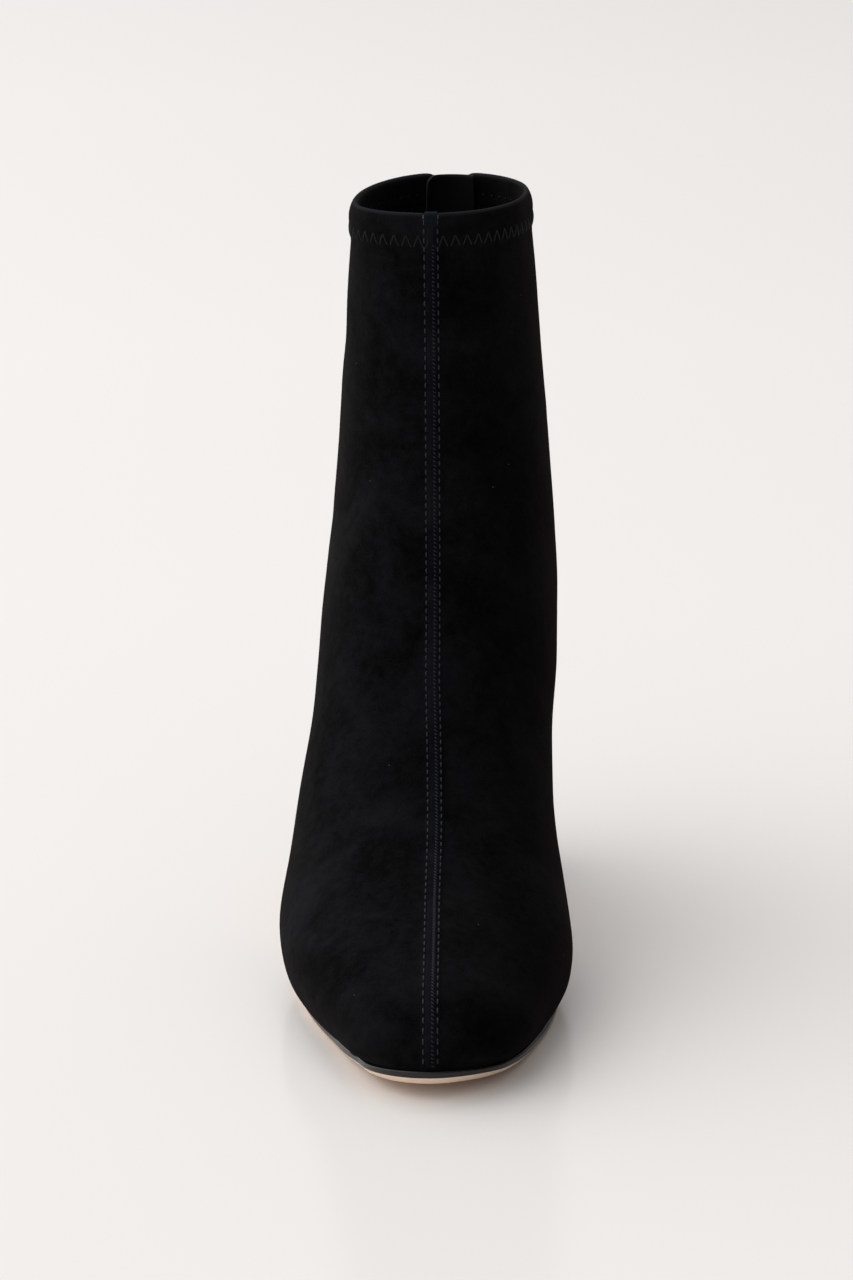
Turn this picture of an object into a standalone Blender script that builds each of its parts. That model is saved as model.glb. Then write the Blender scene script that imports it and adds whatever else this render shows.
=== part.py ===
"""Suede ankle boot for the right foot, with a covered block heel and a zip up the back.

The boot stands on the floor at z = 0, its toe towards -Y and its inner side towards +X.
Lengths are in millimetres: s back from the toe tip, x across (inner side positive), z up.
They are turned into metres when a mesh is made.
"""

import math
from collections import namedtuple

import bmesh
import bpy
import numpy as np
from mathutils import Matrix, Vector

# Driving sizes
MM = 0.001
WALL = 1.8
GAP = 0.3
SIDE_COLUMNS = 16
STEPS_PER_ROW = 2
CURVE_POINTS = 48
FEATHER_STEPS = 6
POINT_WIDTH = 0.01
ROUND_SEGMENTS = 20
CORNER_SEGMENTS = 4

# Folded hem and front seam, both steps in the upper's wall
HEM_RAISE = 0.6
HEM_STEP = 0.06
SEAM_HALF_WIDTH = 2.8
SEAM_RAISE = 0.4
SEAM_STEP = 0.3

# Easing of the upper round the heel cup
CUP_FRONT = 190.0
CUP_TOP = 104.0
CUP_EASING = 2
CUP_EASING_SHARE = 0.5

# Sole, insole and heel
SOLE_LEDGE = 1.0
SOLE_EDGE_SHARE = 0.48
SOLE_BEVEL = 2.1
SOLE_STATIONS = 44
INSOLE_THICKNESS = 2.0
INSOLE_INSET = WALL + 1.0
BREAST_S = 187.0
HEEL_LEDGE = 0.6
HEEL_STATIONS = 12
HEEL_LEVELS = 7
HEEL_FLARE = 1.7
HEEL_FOOT_FRONT = 189.0
HEEL_FOOT_BACK = 226.5
HEEL_FOOT_HALF_WIDTH = 23.0
HEEL_FOOT_SQUARENESS = 2.6
HEEL_AXIS_X = 2.0
TOP_PIECE = 6.0

# Zip at the back
SLOT_HALF_WIDTH = 5.3
SLOT_TAPER = 0.3
TAPE_HALF_WIDTH = 9.4
TAPE_THICKNESS = 0.7
TAPE_GAP = 0.75
TAPE_OVERLAP_ROWS = 0.5
TAPE_TOP_DROP = 0.3
STRIP_COLUMNS = 6
STRIP_ROW_GAP = 0.1
CHAIN_HALF_WIDTH = 2.7
CHAIN_PROUD = -0.2
CHAIN_COLUMNS = 3
GUARD_HALF_WIDTH = 10.2
GUARD_THICKNESS = 0.8
GUARD_TOP_DROP = 0.03
SLIDER_TOP_Z = 237.5
SLIDER_SIZE = (8.6, 2.2, 11.0)
SLIDER_CORNER = 1.6
PIN_RADIUS = 0.6
PIN_OUT = 2.2
PIN_DROP = 3.0
EAR_INNER = 2.2
EAR_WIDTH = 1.1
EAR_HALF = 1.5
EYE_HALF_WIDTH = 1.8
EYE_RADIUS = 1.6
EYE_BORE = 0.69
PULL_NECK = 3.6
PULL_NECK_LAP = 1.0
PULL_LENGTH = 24.0
PULL_HALF_WIDTH = 3.2
PULL_THICKNESS = 1.3
PULL_CORNER = 1.4

# Sole line: height of the sole's underside above the floor and its thickness, toe to heel
SoleRow = namedtuple("SoleRow", "s floor thickness")
SOLE_LINE = (
    SoleRow(-4.0, 5.8, 4.2),
    SoleRow(0.0, 5.0, 4.2),
    SoleRow(20.0, 1.9, 4.2),
    SoleRow(48.0, 0.0, 4.2),
    SoleRow(92.0, 0.0, 4.2),
    SoleRow(112.0, 6.0, 3.8),
    SoleRow(136.0, 22.0, 3.2),
    SoleRow(160.0, 41.5, 3.0),
    SoleRow(184.0, 60.0, 3.0),
    SoleRow(205.0, 72.5, 3.0),
    SoleRow(222.0, 79.5, 3.0),
    SoleRow(240.0, 84.0, 3.0),
)

# Sections of the upper. Each is a slanted slice from its base, on the sole or on the back line,
# up to the front ridge. lateral and medial are its widest points, feather_* its ends at the base,
# widest_* the height of the widest points as a share of the slice, crown_* and cup how square the
# slice is above and below them, taper how much it narrows towards the ridge.
Section = namedtuple(
    "Section",
    "name base_s base_z ridge_s ridge_z ridge_x lateral medial feather_lat feather_med"
    " widest_lat widest_med crown_lat crown_med cup taper",
)
SOLE = None
SECTIONS = (
    Section("toe edge", 16, SOLE, 0, 9.5, 4.3, -16.4, 26.2, -16.4, 26.2, 0, 0, 2.3, 1.7, 2, 0.24),
    Section("toe wall", 18.5, SOLE, -1.2, 16.5, 4.3, -19.9, 28.5, -17.4, 27.6, 0.2, 0.2, 2.1, 2.1, 2, 0.12),
    Section("toe turn", 22.5, SOLE, 2, 24, 4.3, -22.1, 31.2, -19.4, 29.5, 0.28, 0.28, 2.05, 2.15, 2, 0.05),
    Section("toe top", 29, SOLE, 10, 30, 4.1, -26.1, 34.7, -22.4, 31.9, 0.32, 0.32, 2.1, 2.15, 2, 0),
    Section("toe root", 40, SOLE, 24, 35.5, 3.9, -32.1, 38.1, -26.5, 35.0, 0.34, 0.34, 2.1, 2.15, 2, 0),
    Section("inner ball", 56, SOLE, 44, 42.5, 3.5, -39.1, 42.7, -33.0, 38.9, 0.34, 0.34, 2.1, 2.1, 2, 0),
    Section("ball", 74, SOLE, 65, 51, 3.2, -44.6, 46, -38.4, 40.8, 0.33, 0.33, 2.05, 2.05, 2, 0),
    Section("outer ball", 94, SOLE, 84, 62, 3.0, -47, 44.9, -41.4, 37.5, 0.32, 0.32, 1.95, 2, 2, 0),
    Section("vamp", 116, SOLE, 100, 76, 2.3, -45.2, 42.1, -38, 31, 0.34, 0.34, 1.9, 1.95, 2, 0),
    Section("waist", 140, SOLE, 111, 90, 1.8, -42.7, 39.6, -34, 27, 0.37, 0.37, 1.95, 1.95, 1.9, 0),
    Section("instep", 164, SOLE, 119, 103.5, 1.5, -39.5, 39.2, -30, 27, 0.39, 0.39, 2, 2, 1.75, 0),
    Section("arch", 186, SOLE, 125, 117, 1.5, -38.2, 40.6, -27.8, 29.6, 0.41, 0.41, 2, 2, 1.55, 0),
    Section("heel seat", 206, SOLE, 129, 130, 1.4, -37.4, 40.8, -27.2, 31.2, 0.43, 0.43, 2.05, 2.05, 1.4, 0),
    Section("heel arc", 220, SOLE, 132, 142.5, 1.4, -36.3, 40.8, -21, 25, 0.45, 0.45, 2.1, 2.1, 1.5, 0),
    Section("heel turn", 227.5, SOLE, 134.5, 154, 1.4, -35.3, 40.5, -11, 15, 0.47, 0.47, 2.1, 2.1, 1.85, 0),
    Section("heel back", 230, SOLE, 136.5, 164.5, 1.4, -34.2, 40.1, 2, 2, 0.49, 0.49, 2.1, 2.1, 2.3, 0),
    Section("heel cup", 234, 98, 138, 176, 1.4, -33, 39.3, 2.5, 2.5, 0.5, 0.5, 2.15, 2.15, 2.25, 0),
    Section("ankle", 233.5, 118, 139.2, 187.5, 1.4, -31.7, 38.2, 3, 3, 0.5, 0.5, 2.15, 2.15, 2.2, 0),
    Section("tendon", 229, 142, 140, 199, 1.4, -30.1, 37, 3.6, 3.6, 0.52, 0.5, 2.15, 2.15, 2.1, 0),
    Section("shaft", 225.8, 172, 140.8, 210, 1.4, -28.5, 35.4, 4.2, 4.2, 0.55, 0.48, 2.2, 2.15, 2.05, 0),
    Section("high shaft", 224.8, 202, 141.3, 219.5, 1.4, -26.9, 34.1, 4.7, 4.7, 0.6, 0.46, 2.2, 2.1, 2, 0),
    Section("hem line", 225, 228, 141.6, 228.5, 1.4, -25.5, 32.5, 5, 5, 0.65, 0.44, 2.2, 2.1, 2, 0),
    Section("collar", 225, 240, 141.6, 240, 1.4, -24.5, 31.2, 5, 5, 0.68, 0.44, 2.2, 2.1, 2, 0),
)
SECTION_NAMES = [row.name for row in SECTIONS]
COLLAR_ROW = len(SECTIONS) - 1
HEM_ROW = SECTION_NAMES.index("hem line")
HEEL_BACK_ROW = SECTION_NAMES.index("heel back")
ZIP_FOOT_ROW = SECTION_NAMES.index("ankle")
# The base line runs along the sole's edge and turns up the back at the heel
BASE_LINE = ("base_s", "base_z", "feather_lat", "feather_med")


def monotone_curve(knots, values, at):
    """Cubic curve through the knots that never overshoots them."""
    knots = np.asarray(knots, float)
    values = np.asarray(values, float)
    slopes = np.diff(values) / np.diff(knots)
    tangents = np.zeros(len(knots))
    tangents[0] = slopes[0]
    tangents[-1] = slopes[-1]
    for i in range(1, len(knots) - 1):
        if slopes[i - 1] * slopes[i] > 0.0:
            tangents[i] = 2.0 * slopes[i - 1] * slopes[i] / (slopes[i - 1] + slopes[i])
    i = np.clip(np.searchsorted(knots, at) - 1, 0, len(knots) - 2)
    span = knots[i + 1] - knots[i]
    f = (at - knots[i]) / span
    start = values[i] * (1 + 2 * f) * (1 - f) ** 2 + tangents[i] * span * f * (1 - f) ** 2
    finish = values[i + 1] * f * f * (3 - 2 * f) - tangents[i + 1] * span * f * f * (1 - f)
    return start + finish


def sole_underside(s):
    """Height of the sole's underside at s."""
    return monotone_curve([r.s for r in SOLE_LINE], [r.floor for r in SOLE_LINE], s)


def sole_thickness(s):
    """Thickness of the sole at s."""
    return monotone_curve([r.s for r in SOLE_LINE], [r.thickness for r in SOLE_LINE], s)


def seat(s):
    """Height of the bed that the upper and insole stand on."""
    return sole_underside(s) + sole_thickness(s)


def section_at(row):
    """Section between two rows of the table, each column a smooth curve along the rows."""
    columns = {"name": SECTIONS[int(row)].name}
    for column in Section._fields[1:]:
        first, last = 0, COLLAR_ROW
        if column in BASE_LINE and row <= HEEL_BACK_ROW:
            last = HEEL_BACK_ROW
        elif column in BASE_LINE:
            first = HEEL_BACK_ROW
        values = [getattr(r, column) for r in SECTIONS[first:last + 1]]
        if column == "base_z":
            values = [seat(r.base_s) + GAP if r.base_z is SOLE else r.base_z
                      for r in SECTIONS[first:last + 1]]
        columns[column] = float(monotone_curve(range(first, last + 1), values, row))
    if row <= HEEL_BACK_ROW:
        columns["base_z"] = seat(columns["base_s"]) + GAP
    return Section(**columns)


def half_section(row, side):
    """Points of one half of a section, from the ridge down to its base, as x, s, z rows."""
    cut = section_at(row)
    if side < 0:
        edge, feather, widest, crown = cut.lateral, cut.feather_lat, cut.widest_lat, cut.crown_lat
    else:
        edge, feather, widest, crown = cut.medial, cut.feather_med, cut.widest_med, cut.crown_med
    turn = np.linspace(0.0, math.pi / 2, CURVE_POINTS)
    rise = (1 - widest) * np.cos(turn) ** (2 / crown)
    reach = np.sin(turn) ** (2 / crown) * (1 - cut.taper * rise)
    high_x = cut.ridge_x + (edge - cut.ridge_x) * reach
    high_y = widest + rise
    low_x = feather + (edge - feather) * np.cos(turn) ** (2 / cut.cup)
    low_y = widest * (1 - np.sin(turn) ** (2 / cut.cup))
    x = np.concatenate([high_x, low_x[1:]])
    y = np.concatenate([high_y, low_y[1:]])
    s = cut.base_s + (cut.ridge_s - cut.base_s) * y
    z = cut.base_z + (cut.ridge_z - cut.base_z) * y
    z = np.maximum(z, seat(s) + GAP) if row < HEEL_BACK_ROW else z
    return np.stack([x, s, z], axis=1)


def resample(points, distances):
    """Points at the given distances along a curve."""
    steps = np.linalg.norm(np.diff(points, axis=0), axis=1)
    length = np.concatenate([[0.0], np.cumsum(steps)])
    return np.stack([np.interp(distances, length, points[:, k]) for k in range(3)], axis=1)


def curve_length(points):
    """Length of a curve."""
    return float(np.linalg.norm(np.diff(points, axis=0), axis=1).sum())


def outward(points):
    """Unit normals of a grid of points, pointing out of the boot."""
    along_rows = np.gradient(points, axis=0)
    along_columns = np.gradient(points, axis=1)
    normals = np.cross(along_columns, along_rows)
    return normals / np.linalg.norm(normals, axis=2, keepdims=True)


def place(point):
    """A point given as x, s, z in millimetres, in metres on the boot's axes."""
    return Vector((point[0] * MM, point[1] * MM, point[2] * MM))


def make_material(name, colour, roughness, metallic=0.0):
    """Plain surface with one colour."""
    material = bpy.data.materials.new(name)
    material.use_nodes = True
    shader = material.node_tree.nodes["Principled BSDF"]
    shader.inputs["Base Color"].default_value = (*colour, 1.0)
    shader.inputs["Roughness"].default_value = roughness
    shader.inputs["Metallic"].default_value = metallic
    return material


def add_piece(name, bm, material, wall=0.0, smooth=True):
    """Turn a mesh into a named piece. A sheet gets a wall on its inner side."""
    if wall == 0.0:
        bmesh.ops.recalc_face_normals(bm, faces=bm.faces)
    mesh = bpy.data.meshes.new(name)
    bm.to_mesh(mesh)
    bm.free()
    mesh.materials.append(material)
    for polygon in mesh.polygons:
        polygon.use_smooth = smooth
    piece = bpy.data.objects.new(name, mesh)
    bpy.context.scene.collection.objects.link(piece)
    if wall > 0.0:
        inner_side = piece.modifiers.new("wall", "SOLIDIFY")
        inner_side.thickness = wall * MM
        inner_side.offset = -1.0
        inner_side.use_even_offset = True
        inner_side.use_quality_normals = True
    return piece


def sheet(grid, welded=()):
    """Mesh of a grid of points. The two ends of each welded row share one vertex."""
    bm = bmesh.new()
    rows = []
    for i, line in enumerate(grid):
        verts = [bm.verts.new(place(p)) for p in line[:-1]]
        verts.append(verts[0] if i in welded else bm.verts.new(place(line[-1])))
        rows.append(verts)
    for low, high in zip(rows, rows[1:]):
        for j in range(len(low) - 1):
            corners = [low[j], low[j + 1], high[j + 1], high[j]]
            bm.faces.new(list(dict.fromkeys(corners)))
    return bm


def upper_rows():
    """Positions of the upper's sections along the table, closer at the zip's foot and hem."""
    rows = [k / STEPS_PER_ROW for k in range(COLLAR_ROW * STEPS_PER_ROW + 1)]
    rows += [ZIP_FOOT_ROW + SLOT_TAPER, HEM_ROW - HEM_STEP, HEM_ROW + HEM_STEP]
    return sorted(r for r in rows if r != HEM_ROW)


def slot_half_width(row):
    """Half width of the zip's slot at a section."""
    share = (row - ZIP_FOOT_ROW) / SLOT_TAPER
    return SLOT_HALF_WIDTH * min(max(share, 0.0), 1.0)


def seam_raise(distance):
    """Height of the front seam's band at a distance from the ridge."""
    share = (SEAM_HALF_WIDTH + SEAM_STEP - distance) / (2 * SEAM_STEP)
    return SEAM_RAISE * min(max(share, 0.0), 1.0)


def upper_grid(rows):
    """Outer face of the upper, one line of points for each section, lateral end first."""
    grid = []
    lifts = []
    for row in rows:
        halves = []
        for side in (-1, 1):
            curve = half_section(row, side)
            end = curve_length(curve) - slot_half_width(row)
            first = SEAM_HALF_WIDTH + SEAM_STEP
            spread = np.linspace(first, end, SIDE_COLUMNS)
            distances = np.concatenate([[0.0, SEAM_HALF_WIDTH - SEAM_STEP], spread])
            halves.append(resample(curve, distances))
        lift = [seam_raise(d) for d in distances]
        hem = HEM_RAISE if row > HEM_ROW else 0.0
        lifts.append(hem + np.array(lift[:0:-1] + lift))
        grid.append(np.concatenate([halves[0][:0:-1], halves[1]]))
    grid = np.array(grid)
    normals = outward(grid)
    normals[:, 0, 0] = 0.0
    normals[:, -1, 0] = 0.0
    return grid + normals * np.array(lifts)[:, :, None]


def feather_line(side):
    """Edge where the upper meets the sole on one side, toe tip to heel back, as x, s points."""
    front = half_section(0.0, side)[:CURVE_POINTS]
    rows = np.linspace(0.0, HEEL_BACK_ROW, HEEL_BACK_ROW * FEATHER_STEPS + 1)[1:]
    ends = [half_section(row, side)[-1] for row in rows]
    return np.concatenate([front, np.array(ends)])[:, :2]


def outline(offset, start, finish, count):
    """Plan outline moved out by offset, as s, lateral x and medial x at matching stations."""
    lateral = feather_line(-1)
    medial = feather_line(1)
    loop = np.concatenate([medial, lateral[-2:0:-1]])
    ahead = np.roll(loop, -1, axis=0) - loop
    edge_normals = np.stack([ahead[:, 1], -ahead[:, 0]], axis=1)
    edge_normals /= np.linalg.norm(edge_normals, axis=1, keepdims=True)
    normals = edge_normals + np.roll(edge_normals, 1, axis=0)
    normals /= np.linalg.norm(normals, axis=1, keepdims=True)
    moved = loop + normals * offset
    inner = moved[:len(medial)]
    outer = np.concatenate([moved[:1], moved[:len(medial) - 2:-1]])
    low = max(start, inner[0, 1])
    high = min(finish, inner[-1, 1])
    share = np.linspace(0.0, 1.0, count)
    blunt_start = low > start
    blunt_finish = high < finish
    if blunt_start and blunt_finish:
        share = (1 - np.cos(math.pi * share)) / 2
    elif blunt_start:
        share = 1 - np.cos(math.pi / 2 * share)
    elif blunt_finish:
        share = np.sin(math.pi / 2 * share)
    s = low + (high - low) * share
    x_lateral = np.interp(s, np.maximum.accumulate(outer[:, 1]), outer[:, 0])
    x_medial = np.interp(s, np.maximum.accumulate(inner[:, 1]), inner[:, 0])
    return s, x_lateral, x_medial


def slab(layers):
    """Closed solid of stacked outlines. A layer gives s, lateral x, medial x and z arrays."""
    bm = bmesh.new()
    rings = []
    for s, lateral, medial, z in layers:
        left = []
        right = []
        for k in range(len(s)):
            pointed = abs(medial[k] - lateral[k]) < POINT_WIDTH
            left.append(bm.verts.new(place((lateral[k], s[k], z[k]))))
            right.append(left[-1] if pointed else bm.verts.new(place((medial[k], s[k], z[k]))))
        rings.append((left, right))
    for left, right in (rings[0], rings[-1]):
        for k in range(len(left) - 1):
            corners = [left[k], right[k], right[k + 1], left[k + 1]]
            bm.faces.new(list(dict.fromkeys(corners)))
    for (left, right), (left_next, right_next) in zip(rings, rings[1:]):
        loop = left + right[::-1]
        loop_next = left_next + right_next[::-1]
        for k in range(len(loop)):
            corners = [loop[k - 1], loop[k], loop_next[k], loop_next[k - 1]]
            corners = list(dict.fromkeys(corners))
            if len(corners) > 2:
                bm.faces.new(corners)
    return bm


def back_patch(rows, half_width, depth, columns):
    """Sheet that follows the back of the shaft, at a depth under the upper's outer face."""
    grid = []
    for row in rows:
        halves = []
        for side in (1, -1):
            curve = half_section(row, side)[::-1]
            halves.append(resample(curve, np.linspace(0.0, half_width, columns)))
        grid.append(np.concatenate([halves[0][:0:-1], halves[1]]))
    grid = np.array(grid)
    return sheet(grid - outward(grid) * depth)


def zip_rows(start, finish):
    """Sections of a strip at the back, at the upper's own sections between its two ends."""
    inside = [row for row in upper_rows() if start + STRIP_ROW_GAP < row < finish - STRIP_ROW_GAP]
    return [start] + inside + [finish]


def heel_foot(count):
    """Outline of the heel where it meets the top piece, as s, lateral x and medial x."""
    share = np.sin(np.linspace(0.0, math.pi / 2, count))
    reach = (1 - share ** HEEL_FOOT_SQUARENESS) ** (1 / HEEL_FOOT_SQUARENESS)
    s = HEEL_FOOT_FRONT + (HEEL_FOOT_BACK - HEEL_FOOT_FRONT) * share
    half = HEEL_FOOT_HALF_WIDTH * reach
    return s, HEEL_AXIS_X - half, HEEL_AXIS_X + half


def block(bm, low, high):
    """Add a box between two corners, given as x, s, z."""
    middle = [(a + b) / 2 * MM for a, b in zip(low, high)]
    size = [(b - a) * MM for a, b in zip(low, high)]
    matrix = Matrix.Translation(middle) @ Matrix.Diagonal((*size, 1.0))
    return bmesh.ops.create_cube(bm, size=1.0, matrix=matrix)["verts"]


def rod(bm, centre, radius, half_length):
    """Add a round bar along x."""
    matrix = Matrix.Translation(place(centre)) @ Matrix.Rotation(math.pi / 2, 4, "Y")
    bmesh.ops.create_cone(
        bm, cap_ends=True, segments=ROUND_SEGMENTS, radius1=radius * MM, radius2=radius * MM,
        depth=2 * half_length * MM, matrix=matrix,
    )


def cutter(name, bm):
    """Hidden solid used only to cut or join another."""
    mesh = bpy.data.meshes.new(name)
    bm.to_mesh(mesh)
    bm.free()
    tool = bpy.data.objects.new(name, mesh)
    tool.hide_render = True
    tool.display_type = "WIRE"
    bpy.context.scene.collection.objects.link(tool)
    return tool


def combine(piece, tool, operation):
    """Exact boolean of a piece with a hidden solid."""
    boolean = piece.modifiers.new(tool.name, "BOOLEAN")
    boolean.operation = operation
    boolean.solver = "EXACT"
    boolean.object = tool


# Clear the scene
for leftover in list(bpy.data.objects):
    bpy.data.objects.remove(leftover)

suede = make_material("black suede", (0.012, 0.012, 0.013), 0.95)
sole_leather = make_material("sole leather", (0.42, 0.29, 0.18), 0.5)
sock_leather = make_material("sock leather", (0.03, 0.028, 0.027), 0.6)
heel_suede = make_material("heel cover suede", (0.012, 0.012, 0.013), 0.95)
tip_rubber = make_material("top piece rubber", (0.015, 0.015, 0.015), 0.7)
tape_cloth = make_material("zip tape", (0.014, 0.014, 0.015), 0.9)
chain_metal = make_material("zip teeth", (0.06, 0.06, 0.065), 0.4, 0.6)
guard_leather = make_material("zip guard leather", (0.02, 0.02, 0.021), 0.7)
slider_metal = make_material("zip slider metal", (0.05, 0.05, 0.055), 0.35, 1.0)
pull_metal = make_material("zip pull metal", (0.05, 0.05, 0.055), 0.35, 1.0)

# Upper
rows = upper_rows()
welded = [i for i, row in enumerate(rows) if HEEL_BACK_ROW <= row <= ZIP_FOOT_ROW]
bm = sheet(upper_grid(rows), welded)
cup = [v for v in bm.verts if v.co.y > CUP_FRONT * MM and v.co.z < CUP_TOP * MM]
cup = [v for v in cup if not v.is_boundary]
for _ in range(CUP_EASING):
    bmesh.ops.smooth_vert(
        bm, verts=cup, factor=CUP_EASING_SHARE, use_axis_x=True, use_axis_y=True, use_axis_z=True)
upper = add_piece("upper", bm, suede, WALL)

# Outsole, from the toe to the heel's breast
sole_end = BREAST_S - GAP
s, lateral, medial = outline(SOLE_LEDGE, -math.inf, sole_end, SOLE_STATIONS)
bottom_s, bottom_lateral, bottom_medial = outline(
    SOLE_LEDGE - SOLE_BEVEL, -math.inf, sole_end, SOLE_STATIONS)
outsole = add_piece("outsole", slab((
    (s, lateral, medial, seat(s)),
    (s, lateral, medial, seat(s) - SOLE_EDGE_SHARE * sole_thickness(s)),
    (bottom_s, bottom_lateral, bottom_medial, sole_underside(bottom_s)),
)), sole_leather, smooth=False)

# Insole
s, lateral, medial = outline(-INSOLE_INSET, -math.inf, math.inf, SOLE_STATIONS)
insole = add_piece("insole", slab((
    (s, lateral, medial, seat(s) + GAP + INSOLE_THICKNESS),
    (s, lateral, medial, seat(s) + GAP),
)), sock_leather, smooth=False)

# Heel and its top piece
s, lateral, medial = outline(HEEL_LEDGE, BREAST_S, math.inf, HEEL_STATIONS)
foot_s, foot_lateral, foot_medial = heel_foot(HEEL_STATIONS)
foot_z = TOP_PIECE + GAP
layers = []
for k in range(HEEL_LEVELS):
    level = 1 - k / (HEEL_LEVELS - 1)
    flare = level ** HEEL_FLARE
    layers.append((
        foot_s + (s - foot_s) * flare,
        foot_lateral + (lateral - foot_lateral) * flare,
        foot_medial + (medial - foot_medial) * flare,
        foot_z + (seat(s) - foot_z) * level,
    ))
heel = add_piece("heel", slab(layers), heel_suede, smooth=False)
flat = np.zeros(HEEL_STATIONS)
top_piece = add_piece("heel_top_piece", slab((
    (foot_s, foot_lateral, foot_medial, flat + TOP_PIECE),
    (foot_s, foot_lateral, foot_medial, flat),
)), tip_rubber, smooth=False)

# Zip: tape across the slot, chain of teeth in it, guard flap behind
zip_foot = ZIP_FOOT_ROW - TAPE_OVERLAP_ROWS
zip_head = COLLAR_ROW - TAPE_TOP_DROP
tape_depth = WALL + TAPE_GAP
guard_depth = tape_depth + TAPE_THICKNESS + GAP
chain_depth = tape_depth - GAP + CHAIN_PROUD
bm = back_patch(zip_rows(zip_foot, zip_head), TAPE_HALF_WIDTH, tape_depth, STRIP_COLUMNS)
tape = add_piece("zip_tape", bm, tape_cloth, TAPE_THICKNESS)
chain_rows = zip_rows(ZIP_FOOT_ROW + SLOT_TAPER, zip_head)
bm = back_patch(chain_rows, CHAIN_HALF_WIDTH, -CHAIN_PROUD, CHAIN_COLUMNS)
chain = add_piece("zip_chain", bm, chain_metal, chain_depth)
guard_rows = zip_rows(zip_foot, COLLAR_ROW - GUARD_TOP_DROP)
bm = back_patch(guard_rows, GUARD_HALF_WIDTH, guard_depth, STRIP_COLUMNS)
guard = add_piece("zip_guard", bm, guard_leather, GUARD_THICKNESS)

# Slider at the head of the chain, with two ears and a pin for the pull
top_cut = section_at(COLLAR_ROW)
slider_x = top_cut.feather_lat
slider_back = top_cut.base_s + CHAIN_PROUD + GAP
slider_face = slider_back + SLIDER_SIZE[1]
pin = (slider_x, slider_face + PIN_OUT, SLIDER_TOP_Z - PIN_DROP)
bm = bmesh.new()
block(
    bm,
    (slider_x - SLIDER_SIZE[0] / 2, slider_back, SLIDER_TOP_Z - SLIDER_SIZE[2]),
    (slider_x + SLIDER_SIZE[0] / 2, slider_face, SLIDER_TOP_Z),
)
upright = [e for e in bm.edges if abs(e.verts[0].co.y - e.verts[1].co.y) > MM]
bmesh.ops.bevel(
    bm, geom=upright, offset=SLIDER_CORNER * MM, segments=CORNER_SEGMENTS, profile=0.5, affect="EDGES")
slider = add_piece("zip_slider", bm, slider_metal, smooth=False)
for name, sign in (("lateral ear", -1), ("medial ear", 1)):
    bm = bmesh.new()
    ends = sorted((slider_x + sign * EAR_INNER, slider_x + sign * (EAR_INNER + EAR_WIDTH)))
    block(
        bm,
        (ends[0], slider_face - SLIDER_SIZE[1] / 2, pin[2] - EAR_HALF),
        (ends[1], pin[1] + EAR_HALF, pin[2] + EAR_HALF),
    )
    combine(slider, cutter(name, bm), "UNION")
bm = bmesh.new()
rod(bm, pin, PIN_RADIUS, EAR_INNER + EAR_WIDTH / 2)
combine(slider, cutter("slider pin", bm), "UNION")

# Pull tab, hanging from the pin
bm = bmesh.new()
rod(bm, (0, 0, 0), EYE_RADIUS, EYE_HALF_WIDTH)
pull = add_piece("zip_pull", bm, pull_metal, smooth=False)
pull.location = place(pin)
half = PULL_THICKNESS / 2
bm = bmesh.new()
block(bm, (-EYE_HALF_WIDTH, -half, -PULL_NECK - PULL_NECK_LAP), (EYE_HALF_WIDTH, half, 0))
neck = cutter("pull neck", bm)
bm = bmesh.new()
block(bm, (-PULL_HALF_WIDTH, -half, -PULL_LENGTH), (PULL_HALF_WIDTH, half, -PULL_NECK))
upright = [e for e in bm.edges if abs(e.verts[0].co.y - e.verts[1].co.y) > MM]
bmesh.ops.bevel(
    bm, geom=upright, offset=PULL_CORNER * MM, segments=CORNER_SEGMENTS, profile=0.5, affect="EDGES")
tab = cutter("pull tab", bm)
bm = bmesh.new()
rod(bm, (0, 0, 0), EYE_BORE, 2 * EYE_HALF_WIDTH)
bore = cutter("pull bore", bm)
for tool, operation in ((neck, "UNION"), (tab, "UNION"), (bore, "DIFFERENCE")):
    tool.location = pull.location
    combine(pull, tool, operation)

# Stand the boot with the middle of its box over the origin
bpy.context.view_layer.update()
pieces = [o for o in bpy.data.objects if not o.hide_render]
corners = np.array([
    piece.matrix_world @ vertex.co for piece in pieces for vertex in piece.data.vertices])
centre = (corners.min(axis=0) + corners.max(axis=0)) / 2
for item in bpy.data.objects:
    item.location.x -= centre[0]
    item.location.y -= centre[1]
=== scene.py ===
"""Black suede ankle boot for the right foot, with a covered block heel and a zip up the back."""
import math
from collections import namedtuple

import bmesh
import bpy
import numpy as np
from mathutils import Matrix, Vector
from mathutils.bvhtree import BVHTree


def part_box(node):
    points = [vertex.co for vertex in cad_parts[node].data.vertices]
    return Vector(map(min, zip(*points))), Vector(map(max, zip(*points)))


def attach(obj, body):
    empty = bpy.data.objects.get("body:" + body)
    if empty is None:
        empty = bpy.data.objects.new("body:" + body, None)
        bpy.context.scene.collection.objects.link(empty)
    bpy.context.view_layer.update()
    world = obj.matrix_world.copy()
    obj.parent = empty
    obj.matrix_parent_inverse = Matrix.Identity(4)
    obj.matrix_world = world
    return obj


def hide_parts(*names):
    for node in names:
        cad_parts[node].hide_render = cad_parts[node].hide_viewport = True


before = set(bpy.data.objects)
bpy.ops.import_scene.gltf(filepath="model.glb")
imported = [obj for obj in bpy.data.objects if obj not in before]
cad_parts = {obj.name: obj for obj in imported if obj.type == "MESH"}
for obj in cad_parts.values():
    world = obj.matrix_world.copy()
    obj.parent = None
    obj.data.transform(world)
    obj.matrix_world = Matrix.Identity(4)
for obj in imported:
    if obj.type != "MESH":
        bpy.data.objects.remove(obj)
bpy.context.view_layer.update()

# Upper. Two halves of thin stretch suede, cut to shape, sewn together down the front and lasted
# over the foot form. The collar is turned in once, and the inside is lined with black cloth.
MM = 0.001
MERGE = 0.005 * MM
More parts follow.
